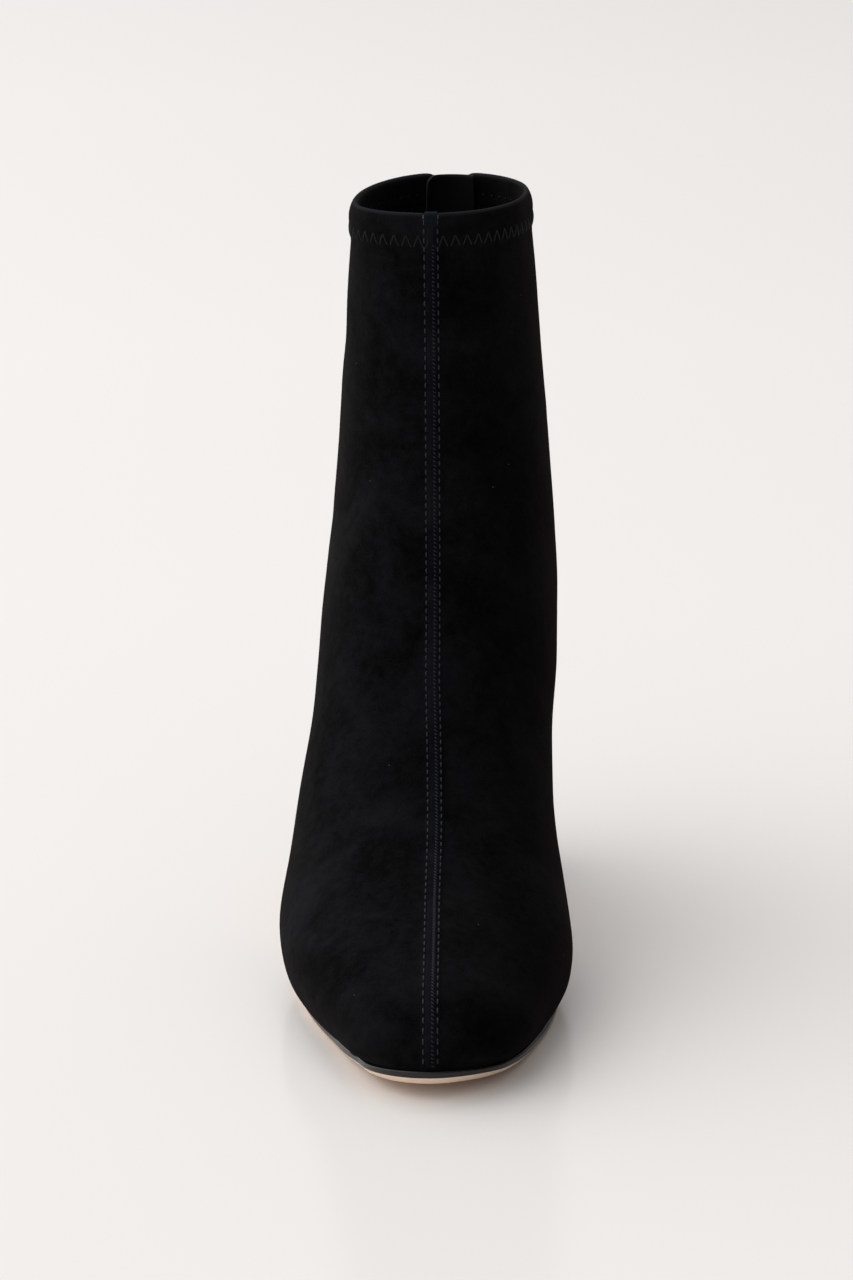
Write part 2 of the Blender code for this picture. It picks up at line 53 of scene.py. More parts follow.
ROUND_LEVELS = 2
ROUNDING_PASSES = 2
SHARP_TURN = math.radians(35)
PAIR_TURN = math.radians(35)
PAIR_SKEW = math.radians(50)
FEATHER_TOP = 90 * MM
FEATHER_CREASE = 0.8
SEAT_REACH = 1.5 * MM
RIM_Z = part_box("upper")[1].z
HEM_DEPTH = 11.5 * MM
HEM_PUFF = 0.6 * MM
HEM_PUFF_DROP = 4.4 * MM
HEM_PUFF_SPREAD = 3.4 * MM
HEM_TURN_RAISE = 0.9 * MM
HEM_TURN_STEP = 1.6 * MM
LINING_TURN = math.radians(55)
SUEDE_SLOT = 0
LINING_SLOT = 1
SUEDE_DEEP = "#070708"
SUEDE_BRUSHED = "#141416"
SUEDE_SHEEN = "#b3aba4"
# Painted highlight: colour of a lighter band along the rim's turned top, where it catches light from
# above, and how far down it reaches
SUEDE_RIM_HIGHLIGHT = "#26282c"
RIM_HIGHLIGHT_DROP = 1.3 * MM
# Painted side light: how much lighter the outer (-X) side and darker the inner side are painted, and the
# width over which the tone changes
PAINTED_SIDE_LIGHT = 0.4
PAINTED_SIDE_LIGHT_REACH = 40 * MM
LINT_GREY = "#4a4a4d"
NAP_SIZE = 0.55
NAP_CLUMP = 3.2
NAP_DEPTH = 0.25
BRUSH_PATCH = 26.0
BRUSH_SHARE = 2.2
BRUSH_LOW = 1.65
BRUSH_HIGH = 2.6
LINT_SPACING = 13.0
LINT_RADIUS = 0.2
LINING_BLACK = "#08080a"
LINING_RIB = 0.9
LINING_RIB_DEPTH = 0.15
SHAFT_MIDDLE = (2 * MM, 60 * MM, 190 * MM)

# Soft creases of the empty shaft and vamp: middle of each trough, the way it runs, its reach
# along and across, and the way and depth that it is pushed, in millimetres
Crease = namedtuple("Crease", "name middle run along across push")
CREASES = (
    Crease("outer shaft dent", (-30, 64, 196), (0, 1, 0.15), 26, 9, (0.5, 0, 0)),
    Crease("outer shaft roll", (-27, 40, 176), (0.3, 1, 0.35), 24, 8, (-0.35, -0.2, 0)),
    Crease("outer ankle dent", (-31, 44, 150), (0.4, 1, 0.4), 26, 7, (0.4, 0.25, 0)),
    Crease("outer ankle roll", (-33, 34, 132), (0.4, 1, 0.4), 26, 8, (-0.3, -0.25, 0)),
    Crease("inner ankle dent", (34, 46, 146), (-0.4, 1, 0.3), 24, 8, (-0.35, 0.2, 0)),
    Crease("front break, low", (2, 8, 108), (1, 0, 0.05), 26, 7, (0, 0.5, -0.25)),
    Crease("front break, high", (0, 15, 133), (1, 0, -0.08), 24, 8, (0, 0.45, -0.1)),
    Crease("outer vamp fold", (-36, -12, 52), (0.25, 1, 0.45), 24, 8, (0.15, 0.1, -0.3)),
    Crease("inner vamp fold", (35, -16, 48), (-0.2, 1, 0.45), 22, 8, (-0.15, 0.1, -0.3)),
    Crease("back tendon ridge", (4, 112, 150), (0, 0, 1), 24, 12, (0, 0.5, 0)),
)


def linear(hex_colour):
    """Linear colour of an sRGB hex value."""
    channels = [int(hex_colour[i:i + 2], 16) / 255 for i in (1, 3, 5)]
    curve = [c / 12.92 if c <= 0.04045 else ((c + 0.055) / 1.055) ** 2.4 for c in channels]
    return (*curve, 1.0)


def add_node(tree, kind, inputs=None, **settings):
    """Add a node with its settings. Each input is a value or the socket that it is linked to."""
    node = tree.nodes.new(kind)
    for name, value in settings.items():
        setattr(node, name, value)
    for key, value in (inputs or {}).items():
        if isinstance(value, bpy.types.NodeSocket):
            tree.links.new(value, node.inputs[key])
        else:
            node.inputs[key].default_value = value
    return node


def new_material(name):
    """Material with its node tree and its shader."""
    material = bpy.data.materials.new(name)
    material.use_nodes = True
    return material, material.node_tree, material.node_tree.nodes["Principled BSDF"]


def per_size(millimetres):
    """Pattern scale for features of a real size."""
    return 1.0 / (millimetres * MM)


def noise(tree, place, size, detail, more=None):
    """Cloudy pattern with features of a real size, in millimetres."""
    inputs = {"Vector": place, "Scale": per_size(size), "Detail": detail, **(more or {})}
    return add_node(tree, "ShaderNodeTexNoise", inputs).outputs["Fac"]


def ribs(tree, place, size, axis, waver):
    """Fine ribs of a real size, in millimetres, side by side along an axis."""
    return add_node(tree, "ShaderNodeTexWave", {
        "Vector": place, "Scale": per_size(size) / (2 * math.pi), "Distortion": waver},
        wave_type="BANDS", bands_direction=axis).outputs["Fac"]


def ranged(tree, value, low, high, start=0.0, end=1.0):
    """Value mapped so that start gives low and end gives high."""
    return add_node(tree, "ShaderNodeMapRange", {
        "Value": value, "From Min": start, "From Max": end,
        "To Min": low, "To Max": high}).outputs["Result"]


def mixed(tree, factor, low, high):
    """Colour between two colours."""
    return add_node(tree, "ShaderNodeMix", {
        "Factor": factor, "A": low, "B": high}, data_type="RGBA").outputs["Result"]


def raise_by(tree, shader, height, strength, depth):
    """Raise a shader's surface by a pattern, to a depth in millimetres."""
    bump = add_node(tree, "ShaderNodeBump", {
        "Height": height, "Strength": strength, "Distance": depth * MM})
    tree.links.new(bump.outputs["Normal"], shader.inputs["Normal"])


def suede(name, deep, brushed):
    """Suede buffed to a short nap: matt, brushed in patches, with lint, with painted side light (outer
    side lighter) and a painted highlight at the rim.
    """
    material, tree, shader = new_material(name)
    place = add_node(tree, "ShaderNodeTexCoord").outputs["Object"]
    patches = noise(tree, place, BRUSH_PATCH, 3.0, {"Roughness": 0.55, "Distortion": 0.6})
    clumps = noise(tree, place, NAP_CLUMP, 2.0, {"Roughness": 0.6})
    nap = noise(tree, place, NAP_SIZE, 2.0, {"Roughness": 0.7})
    relief = add_node(tree, "ShaderNodeMath", {0: nap, 1: clumps}, operation="ADD").outputs[0]
    brushing = add_node(tree, "ShaderNodeMath", {
        0: patches, 1: BRUSH_SHARE, 2: relief}, operation="MULTIPLY_ADD").outputs[0]
    tone = ranged(tree, brushing, 0.0, 1.0, BRUSH_LOW, BRUSH_HIGH)
    colour = mixed(tree, tone, linear(deep), linear(brushed))
    specks = add_node(tree, "ShaderNodeTexVoronoi", {"Vector": place, "Scale": per_size(LINT_SPACING)})
    lint = add_node(tree, "ShaderNodeMath", {
        0: specks.outputs["Distance"], 1: LINT_RADIUS / LINT_SPACING}, operation="LESS_THAN")
    sides = add_node(tree, "ShaderNodeSeparateXYZ", {"Vector": place}).outputs
    # Painted side light: the tone is painted lighter on the outer (-X) side and darker on the inner
    # side, as if lit from the outer side
    side_light = ranged(tree, sides["X"], 1 + PAINTED_SIDE_LIGHT, 1 - PAINTED_SIDE_LIGHT, -PAINTED_SIDE_LIGHT_REACH, PAINTED_SIDE_LIGHT_REACH)
    side_lit = add_node(tree, "ShaderNodeVectorMath", {0: colour, "Scale": side_light}, operation="SCALE")
    # Painted highlight: the suede is painted lighter in a band along the top of the rim, where the
    # turned hem catches light from above
    fold = ranged(tree, sides["Z"], 0.0, 1.0, RIM_Z - RIM_HIGHLIGHT_DROP, RIM_Z)
    rim_lit = mixed(tree, fold, side_lit.outputs[0], linear(SUEDE_RIM_HIGHLIGHT))
    dusted = mixed(tree, lint.outputs[0], rim_lit, linear(LINT_GREY))
    tree.links.new(dusted, shader.inputs["Base Color"])
    raise_by(tree, shader, relief, 0.55, NAP_DEPTH)
    shader.inputs["Roughness"].default_value = 0.95
    shader.inputs["Specular IOR Level"].default_value = 0.0
    shader.inputs["Sheen Weight"].default_value = 0.05
    shader.inputs["Sheen Roughness"].default_value = 0.45
    shader.inputs["Sheen Tint"].default_value = linear(SUEDE_SHEEN)
    return material


def lining_cloth():
    """Black knitted stretch lining: fine upright ribs, matt."""
    material, tree, shader = new_material("black stretch lining cloth")
    place = add_node(tree, "ShaderNodeTexCoord").outputs["Object"]
    raise_by(tree, shader, ribs(tree, place, LINING_RIB, "X", 0.4), 0.3, LINING_RIB_DEPTH)
    shader.inputs["Base Color"].default_value = linear(LINING_BLACK)
    shader.inputs["Roughness"].default_value = 0.9
    shader.inputs["Specular IOR Level"].default_value = 0.05
    return material


def quads_of(node):
    """A frame node's mesh, merged and with its triangles joined in pairs."""
    bm = bmesh.new()
    bm.from_mesh(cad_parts[node].data)
    bmesh.ops.remove_doubles(bm, verts=bm.verts, dist=MERGE)
    bmesh.ops.join_triangles(
        bm, faces=bm.faces, angle_face_threshold=PAIR_TURN, angle_shape_threshold=PAIR_SKEW,
        cmp_seam=False)
    bm.normal_update()
    return bm


def creased(bm, amount, top=math.inf):
    """Hold the sharp edges of a cage, up to a height."""
    layer = bm.edges.layers.float.new("crease_edge")
    for edge in bm.edges:
        low = max(v.co.z for v in edge.verts) < top
        if low and edge.is_manifold and edge.calc_face_angle() > SHARP_TURN:
            edge[layer] = amount
    return bm


def smooth_region(seed, turn):
    """Faces reached from a seed face without crossing an edge that turns more than an angle."""
    found = {seed}
    queue = [seed]
    while queue:
        face = queue.pop()
        for edge in face.edges:
            for other in edge.link_faces:
                if other not in found and face.normal.angle(other.normal) < turn:
                    found.add(other)
                    queue.append(other)
    return found


def vertex_places(mesh):
    """Places and normals of a mesh's vertices as arrays."""
    places = np.empty(len(mesh.vertices) * 3)
    normals = np.empty(len(mesh.vertices) * 3)
    mesh.vertices.foreach_get("co", places)
    mesh.vertex_normals.foreach_get("vector", normals)
    return places.reshape(-1, 3), normals.reshape(-1, 3)


def set_places(mesh, places):
    """Move a mesh's vertices to an array of places."""
    mesh.vertices.foreach_set("co", places.ravel())
    mesh.update()


def applied(piece):
    """Turn a piece's modifiers into its mesh."""
    evaluated = piece.evaluated_get(bpy.context.evaluated_depsgraph_get())
    mesh = bpy.data.meshes.new_from_object(evaluated)
    piece.modifiers.clear()
    piece.data = mesh
    mesh.name = piece.name
    return piece


def in_scene(name, data):
    """New object of a mesh or other data, linked into the scene."""
    thing = bpy.data.objects.new(name, data)
    bpy.context.scene.collection.objects.link(thing)
    return thing


def piece_of(name, bm, materials):
    """Smooth-shaded object of a mesh under work."""
    mesh = bpy.data.meshes.new(name)
    bm.to_mesh(mesh)
    bm.free()
    for material in materials:
        mesh.materials.append(material)
    mesh.shade_smooth()
    return in_scene(name, mesh)


def rounded(name, bm, levels, materials):
    """Piece of a subdivided cage. Away from sharp edges it passes through the cage's own points."""
    smooth_verts = np.array([
        all(e.is_manifold and e.calc_face_angle() < SHARP_TURN for e in v.link_edges) for v in bm.verts])
    piece = piece_of(name, bm, materials)
    mesh = piece.data
    rounding = piece.modifiers.new("rounding", "SUBSURF")
    rounding.levels = levels
    rounding.render_levels = levels
    wanted, _ = vertex_places(mesh)
    for _ in range(ROUNDING_PASSES):
        evaluated = piece.evaluated_get(bpy.context.evaluated_depsgraph_get())
        reached, _ = vertex_places(evaluated.data)
        now, _ = vertex_places(mesh)
        now += (wanted - reached[:len(wanted)]) * smooth_verts[:, None]
        set_places(mesh, now)
    return applied(piece)


black_suede = suede("black kid suede", SUEDE_DEEP, SUEDE_BRUSHED)
bm = creased(quads_of("upper"), FEATHER_CREASE, FEATHER_TOP)
bm.faces.ensure_lookup_table()
inner_face = BVHTree.FromBMesh(bm).ray_cast(Vector(SHAFT_MIDDLE), Vector((0, -1, 0)))[2]
for face in smooth_region(bm.faces[inner_face], LINING_TURN):
    face.material_index = LINING_SLOT
upper = rounded("suede_upper", bm, ROUND_LEVELS, (black_suede, lining_cloth()))

places, normals = vertex_places(upper.data)
for crease in CREASES:
    run = np.array(crease.run, float)
    run /= np.linalg.norm(run)
    away = places / MM - np.array(crease.middle, float)
    along = away @ run
    across = np.linalg.norm(away - np.outer(along, run), axis=1)
    share = np.exp(-(along / crease.along) ** 2 - (across / crease.across) ** 2)
    places += np.outer(share, np.array(crease.push) * MM)

# The turned hem stands a little proud on both faces, and its suede shows inside too
drop = RIM_Z - places[:, 2]
inside = np.zeros(len(places), bool)
for polygon in upper.data.polygons:
    if polygon.material_index == LINING_SLOT:
        inside[list(polygon.vertices)] = True
        if RIM_Z - polygon.center.z < HEM_DEPTH:
            polygon.material_index = SUEDE_SLOT
puff = HEM_PUFF * np.exp(-((drop - HEM_PUFF_DROP) / HEM_PUFF_SPREAD) ** 2)
turned = HEM_TURN_RAISE * np.clip((HEM_DEPTH - drop) / HEM_TURN_STEP, 0, 1)
turned *= np.clip(drop / HEM_TURN_STEP, 0, 1)
places += normals * np.where(inside, turned, puff)[:, None]

# The lasted edge is drawn down on to the sole and the heel
bottom = bmesh.new()
for node in ("outsole", "heel"):
    bottom.from_mesh(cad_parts[node].data)
seat = BVHTree.FromBMesh(bottom)
bottom.free()
for k in np.flatnonzero(places[:, 2] < FEATHER_TOP):
    near, _, _, distance = seat.find_nearest(Vector(places[k]), SEAT_REACH)
    if near is not None:
        places[k] += (np.array(near) - places[k]) * (1 - distance / SEAT_REACH)
set_places(upper.data, places)
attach(upper, "boot")
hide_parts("upper")

# Front seam. The halves are butted, backed with a tape and topstitched on both sides, so a soft
# band stands up between two rows of stitches, with the joint whipped over in the middle.
SEAM_HALF_WIDTH = 2.85
SEAM_EDGE_SINK = 0.25
SEAM_COLUMNS = 32
SEAM_STEP = 0.8
SEAM_PUFF = 0.28
SEAM_ROW = 2.12
SEAM_ROW_SINK = 0.3
SEAM_ROW_WIDTH = 0.5
SEAM_JOINT = 0.65
SEAM_JOINT_RAISE = 0.22
SEAM_JOINT_WIDTH = 0.32
SEAM_TOP_Z = 238.0
SEAM_FOOT_Z = 9.8
SEAM_HEIGHT_STEP = 0.2
SEAM_DEEP = "#0b0c0f"
SEAM_BRUSHED = "#17181c"
# Place of the seam across the boot at a few heights, in millimetres
SeamPlace = namedtuple("SeamPlace", "z x")
SEAM_LINE = (
    SeamPlace(9.5, 4.8), SeamPlace(25, 4.8), SeamPlace(35, 4.4), SeamPlace(45, 3.8),
    SeamPlace(58, 3.6), SeamPlace(76, 2.8), SeamPlace(95, 2.0), SeamPlace(142, 1.9),
    SeamPlace(240, 1.9),
)
# Spacing of the stitches at a few heights, as the halves were drawn over the last, in millimetres
SeamPitch = namedtuple("SeamPitch", "z pitch")
SEAM_PITCHES = (
    SeamPitch(35, 3.15), SeamPitch(56, 2.85), SeamPitch(84, 2.54), SeamPitch(118, 2.54),
    SeamPitch(156, 2.67), SeamPitch(194, 2.9),
)
STITCH_FILL = 0.6
THREAD_RADIUS = 0.26
THREAD_ARCH = 0.5
THREAD_SINK = 0.25
THREAD_STRAND = 0.35
STRAND_SHADE = 0.4
THREAD_GREY = "#31343a"
WHIP_PITCH = 1.3
WHIP_HALF_WIDTH = 0.42
WHIP_SLANT = 0.5
WHIP_RADIUS = 0.15
WHIP_ARCH = 0.75
WHIP_RAISE = 0.15
WHIP_GREY = "#33363c"
WHIP_TOP_DROP = 8.0


def face_finder(mesh):
    """Search tree of a mesh's faces."""
    return BVHTree.FromPolygons(
        [v.co for v in mesh.vertices], [list(p.vertices) for p in mesh.polygons])


def seam_x(z):
    """Place of the front seam across the boot at a height, in millimetres."""
    return float(np.interp(z, [p.z for p in SEAM_LINE], [p.x for p in SEAM_LINE]))


def wall_point(faces, x, z, side):
    """Point and normal where a wall is met at x and z from the front (-1) or the back (1)."""
    hit, normal, _, _ = faces.ray_cast(Vector((x * MM, side, z * MM)), Vector((0, -side, 0)))
    return np.array(hit) / MM, np.array(normal)


def front_point(x, z):
    """Point and normal of the upper's front at x and z, in millimetres."""
    return wall_point(upper_faces, x, z, -1)


def even_steps(points, step):
    """Shares along a list of points that lie one step apart on its path. The step may vary."""
    lengths = np.linalg.norm(np.diff(points, axis=0), axis=1)
    steps = np.concatenate([[0.0], np.cumsum(lengths / step)])
    return np.interp(np.arange(int(steps[-1]) + 1), steps, np.arange(len(points)))


def blend_at(values, shares):
    """Values of an array between its rows."""
    return np.stack([np.interp(shares, np.arange(len(values)), values[:, k]) for k in range(3)], 1)


def columns(rows):
    """Columns of a list of rows, each as an array."""
    return [np.array(column) for column in zip(*rows)]


def stitch_row(path, pitch):
    """Starts, finishes and normals of running stitches along a path of points with normals."""
    points, normals = columns(path)
    steps = even_steps(points, pitch)
    shares = steps[:-1]
    tips = shares + STITCH_FILL * np.diff(steps)
    return blend_at(points, shares), blend_at(points, tips), blend_at(normals, shares)


def grid_mesh(name, points, material):
    """Sheet object of a grid of points in millimetres."""
    high, wide = points.shape[:2]
    faces = []
    for i in range(high - 1):
        for j in range(wide - 1):
            corner = i * wide + j
            faces.append((corner, corner + wide, corner + wide + 1, corner + 1))
    mesh = bpy.data.meshes.new(name)
    mesh.from_pydata((points.reshape(-1, 3) * MM).tolist(), [], faces)
    mesh.materials.append(material)
    mesh.shade_smooth()
    return in_scene(name, mesh)


def seam_profile(across):
    """Height of the seam's band at a distance from its middle."""
    edge = np.clip((SEAM_HALF_WIDTH - np.abs(across)) / (SEAM_HALF_WIDTH - SEAM_ROW), 0, 1)
    puff = SEAM_PUFF * np.clip(1 - (across / SEAM_ROW) ** 2, 0, 1)
    rows = SEAM_ROW_SINK * np.exp(-((np.abs(across) - SEAM_ROW) / SEAM_ROW_WIDTH) ** 2)
    joint = SEAM_JOINT_RAISE * np.exp(-((across - SEAM_JOINT) / SEAM_JOINT_WIDTH) ** 2)
    return -SEAM_EDGE_SINK * (1 - edge) + puff - rows * edge + joint


def edge_tree(name, sizes):
    """Node tree that takes a mesh, a few sizes and a material, with the sockets of its input."""
    tree = bpy.data.node_groups.new(name, "GeometryNodeTree")
    face = tree.interface
    face.new_socket("Geometry", in_out="INPUT", socket_type="NodeSocketGeometry")
    for size in sizes:
        face.new_socket(size, in_out="INPUT", socket_type="NodeSocketFloat")
    face.new_socket("Material", in_out="INPUT", socket_type="NodeSocketMaterial")
    face.new_socket("Geometry", in_out="OUTPUT", socket_type="NodeSocketGeometry")
    return tree, add_node(tree, "NodeGroupInput").outputs


def lay_on_edges(tree, given, shape):
    """Finish a node tree so that it lays a shape, one unit long, on each edge of its mesh."""
    ends = add_node(tree, "GeometryNodeInputMeshEdgeVertices")
    run = add_node(tree, "ShaderNodeVectorMath", {
        0: ends.outputs["Position 2"], 1: ends.outputs["Position 1"]}, operation="SUBTRACT")
    kept = add_node(tree, "GeometryNodeStoreNamedAttribute", {
        "Geometry": given["Geometry"], "Name": "run", "Value": run.outputs[0]},
        data_type="FLOAT_VECTOR", domain="EDGE")
    middles = add_node(tree, "GeometryNodeMeshToPoints", {
        "Mesh": kept.outputs["Geometry"]}, mode="EDGES")
    run = add_node(tree, "GeometryNodeInputNamedAttribute", {"Name": "run"},
                   data_type="FLOAT_VECTOR").outputs["Attribute"]
    out = add_node(tree, "GeometryNodeInputNamedAttribute", {"Name": "out"},
                   data_type="FLOAT_VECTOR").outputs["Attribute"]
    length = add_node(tree, "ShaderNodeVectorMath", {0: run}, operation="LENGTH")
    turned = add_node(tree, "FunctionNodeAlignRotationToVector", {"Vector": run}, axis="X")
    turned = add_node(tree, "FunctionNodeAlignRotationToVector", {
        "Rotation": turned.outputs["Rotation"], "Vector": out}, axis="Z", pivot_axis="X")
    size = add_node(tree, "ShaderNodeCombineXYZ", {"X": length.outputs["Value"], "Y": 1.0, "Z": 1.0})
    row = add_node(tree, "GeometryNodeInstanceOnPoints", {
        "Points": middles.outputs["Points"], "Instance": shape,
        "Rotation": turned.outputs["Rotation"], "Scale": size.outputs[0]})
    real = add_node(tree, "GeometryNodeRealizeInstances", {"Geometry": row.outputs["Instances"]})
    smooth = add_node(tree, "GeometryNodeSetShadeSmooth", {"Geometry": real.outputs["Geometry"]})
    worn = add_node(tree, "GeometryNodeSetMaterial", {
        "Geometry": smooth.outputs["Geometry"], "Material": given["Material"]})
    add_node(tree, "NodeGroupOutput", {"Geometry": worn.outputs["Geometry"]})
    return tree


def stitch_tree():
    """Node tree that lays one arched stitch of thread on each edge of a mesh."""
    tree, given = edge_tree("thread stitches", ("Thread Radius", "Arch", "Sink"))
    sunk = add_node(tree, "ShaderNodeMath", {0: given["Sink"], 1: -1.0}, operation="MULTIPLY")
    start = add_node(tree, "ShaderNodeCombineXYZ", {"X": -0.5, "Z": sunk.outputs[0]})
    crest = add_node(tree, "ShaderNodeCombineXYZ", {"Z": given["Arch"]})
    finish = add_node(tree, "ShaderNodeCombineXYZ", {"X": 0.5, "Z": sunk.outputs[0]})
    arch = add_node(tree, "GeometryNodeCurveQuadraticBezier", {
        "Resolution": 6, "Start": start.outputs[0], "Middle": crest.outputs[0],
        "End": finish.outputs[0]})
    ring = add_node(tree, "GeometryNodeCurvePrimitiveCircle", {
        "Resolution": 7, "Radius": given["Thread Radius"]})
    stitch = add_node(tree, "GeometryNodeCurveToMesh", {
        "Curve": arch.outputs["Curve"], "Profile Curve": ring.outputs["Curve"],
        "Fill Caps": True})
    return lay_on_edges(tree, given, stitch.outputs["Mesh"])


def made_by(tree, name, starts, finishes, outs, inputs):
    """Plain mesh object that a node tree makes from a set of edges, given in millimetres."""
    mesh = bpy.data.meshes.new(name)
    ends = np.stack([starts, finishes], axis=1).reshape(-1, 3) * MM
    mesh.from_pydata(ends.tolist(), [(2 * k, 2 * k + 1) for k in range(len(starts))], [])
    away = mesh.attributes.new("out", "FLOAT_VECTOR", "POINT")
    away.data.foreach_set("vector", np.repeat(outs, 2, axis=0).astype(np.float32).ravel())
    piece = in_scene(name, mesh)
    modifier = piece.modifiers.new(tree.name, "NODES")
    modifier.node_group = tree
    for socket in tree.interface.items_tree:
        if socket.in_out == "INPUT" and socket.name in inputs:
            modifier[socket.identifier] = inputs[socket.name]
    return applied(piece)


def shade(colour, share):
    """Linear colour of an sRGB hex value, darkened to a share of its light."""
    return (*(channel * share for channel in linear(colour)[:3]), 1.0)


def thread(name, colour):
    """Twisted polyester sewing thread: dull, darker between its strands."""
    material, tree, shader = new_material(name)
    place = add_node(tree, "ShaderNodeTexCoord").outputs["Object"]
    strands = noise(tree, place, THREAD_STRAND, 1.0)
    twist = mixed(tree, strands, shade(colour, STRAND_SHADE), linear(colour))
    tree.links.new(twist, shader.inputs["Base Color"])
    shader.inputs["Roughness"].default_value = 0.6
    shader.inputs["Specular IOR Level"].default_value = 0.15
    return material


upper_faces = face_finder(upper.data)
heights = np.arange(SEAM_TOP_Z, SEAM_FOOT_Z, -SEAM_HEIGHT_STEP)
middle_line = np.array([front_point(seam_x(z), z)[0] for z in heights])
shares = even_steps(middle_line, SEAM_STEP)
band = []
for z in np.interp(shares, np.arange(len(heights)), heights):
    across = np.linspace(-SEAM_HALF_WIDTH, SEAM_HALF_WIDTH, SEAM_COLUMNS + 1)
    line = []
    for offset, lift in zip(across, seam_profile(across)):
        point, normal = front_point(seam_x(z) + offset, z)
        line.append(point + normal * lift)
    band.append(line)
pressed_suede = suede("pressed suede", SEAM_DEEP, SEAM_BRUSHED)
seam_band = grid_mesh("front_seam_band", np.array(band), pressed_suede)
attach(seam_band, "boot")

stitches = stitch_tree()
seam_thread = {
    "Thread Radius": THREAD_RADIUS * MM, "Arch": THREAD_ARCH * MM, "Sink": THREAD_SINK * MM,
    "Material": thread("dark grey polyester thread", THREAD_GREY)}
seam_pitch = np.interp(heights[1:], [p.z for p in SEAM_PITCHES], [p.pitch for p in SEAM_PITCHES])
rows = []
for side in (-1, 1):
    path = [front_point(seam_x(z) + side * SEAM_ROW, z) for z in heights]
    rows.append(stitch_row(path, seam_pitch))
seam_stitches = made_by(
    stitches, "front_seam_stitches", *[np.concatenate(ends) for ends in zip(*rows)], seam_thread)
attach(seam_stitches, "boot")

whip_thread = {
    "Thread Radius": WHIP_RADIUS * MM, "Arch": WHIP_ARCH * MM, "Sink": -WHIP_RAISE * MM,
    "Material": thread("blue-black polyester thread", WHIP_GREY)}
whips = []
below_tape = heights < SEAM_TOP_Z - WHIP_TOP_DROP
whip_steps = even_steps(middle_line[below_tape], WHIP_PITCH)
for z in np.interp(whip_steps, np.arange(below_tape.sum()), heights[below_tape])[:-1]:
    high, normal = front_point(seam_x(z) + SEAM_JOINT - WHIP_HALF_WIDTH, z + WHIP_SLANT / 2)
    low, _ = front_point(seam_x(z) + SEAM_JOINT + WHIP_HALF_WIDTH, z - WHIP_SLANT / 2)
    whips.append((high, low, normal))
seam_whips = made_by(stitches, "front_seam_whip_stitches", *columns(whips), whip_thread)
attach(seam_whips, "boot")

# Collar hem. The suede is turned in at the top and held by one row of zigzag, which stretches with
# it and shows inside as small dots. The seam's backing tape is folded over the rim in front.
ZIGZAG_DROP = 9.5
ZIGZAG_HEIGHT = 4.7
ZIGZAG_STEP = 2.0
ZIGZAG_DOT = 0.9
ZIGZAG_ZIP_GAP = 8.0
ZIGZAG_GUARD_GAP = 10.5
ZIGZAG_BLACK = "#1a1b1e"
COLLAR_AXIS = (5.0, 66.5)
COLLAR_BACK = 42.0
COLLAR_REACH = 200.0
COLLAR_ANGLES = 720
TAPE_END_HALF_WIDTH = 2.05
TAPE_END_DROP = 4.4
TAPE_END_RIM_DROP = 0.6
TAPE_END_RAISE = 0.3
TAPE_END_COLUMNS = 8
TAPE_END_BLUE = "#0c151c"
TAPE_END_RIB = 0.5
TAPE_STITCH_GAP = 0.2
TAPE_STITCH_TOP = 0.7
TAPE_STITCH_FOOT = 1.9
TAPE_STITCH_GREY = "#4f5358"
WEAVE_DEPTH = 0.2
WEAVE_SHADE = 0.55
WEAVE_WAVER = 0.3
RIM_MM = RIM_Z / MM
# Middle of the zip across the boot at a few heights, in millimetres
ZIP_LINE = (SeamPlace(84, 2.5), SeamPlace(118, 3.5), SeamPlace(172, 4.7), SeamPlace(240, 5.5))


def zip_x(z):
    """Place of the zip's middle across the boot at a height, in millimetres."""
    return float(np.interp(z, [p.z for p in ZIP_LINE], [p.x for p in ZIP_LINE]))


def collar_point(angle, z, outside):
    """Point and normal of the collar at an angle round its axis, from the front, and a height."""
    way = Vector((math.sin(angle), -math.cos(angle), 0))
    start = Vector((COLLAR_AXIS[0], COLLAR_AXIS[1], z))
    if outside:
        start = start + way * COLLAR_REACH
        way = -way
    hit, normal, _, _ = upper_faces.ray_cast(start * MM, way)
    return np.array(hit) / MM, np.array(normal)


def collar_steps(zip_gap, step):
    """Angles round the collar that lie one step apart, from one side of the zip to the other."""
    limit = math.pi - math.atan2(zip_gap, COLLAR_BACK)
    angles = np.linspace(-limit, limit, COLLAR_ANGLES)
    path = np.array([collar_point(angle, RIM_MM - ZIGZAG_DROP, True)[0] for angle in angles])
    return np.interp(even_steps(path, step), np.arange(len(angles)), angles)


def zigzag_z(k):
    """Height of a corner of the zigzag."""
    return RIM_MM - ZIGZAG_DROP + (ZIGZAG_HEIGHT / 2 if k % 2 else -ZIGZAG_HEIGHT / 2)


zigzag_thread = {**seam_thread, "Material": thread("black polyester thread", ZIGZAG_BLACK)}
corners = collar_steps(ZIGZAG_ZIP_GAP, ZIGZAG_STEP)
points, normals = columns(collar_point(angle, zigzag_z(k), True) for k, angle in enumerate(corners))
zigzag = made_by(stitches, "hem_zigzag", points[:-1], points[1:], normals[:-1], zigzag_thread)
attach(zigzag, "boot")

dots = collar_steps(ZIGZAG_GUARD_GAP, ZIGZAG_STEP)
points, normals = columns(collar_point(angle, zigzag_z(k), False) for k, angle in enumerate(dots))
upright = np.array([0, 0, ZIGZAG_DOT / 2])
dot_row = made_by(
    stitches, "hem_zigzag_inside", points - upright, points + upright, normals, zigzag_thread)
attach(dot_row, "boot")


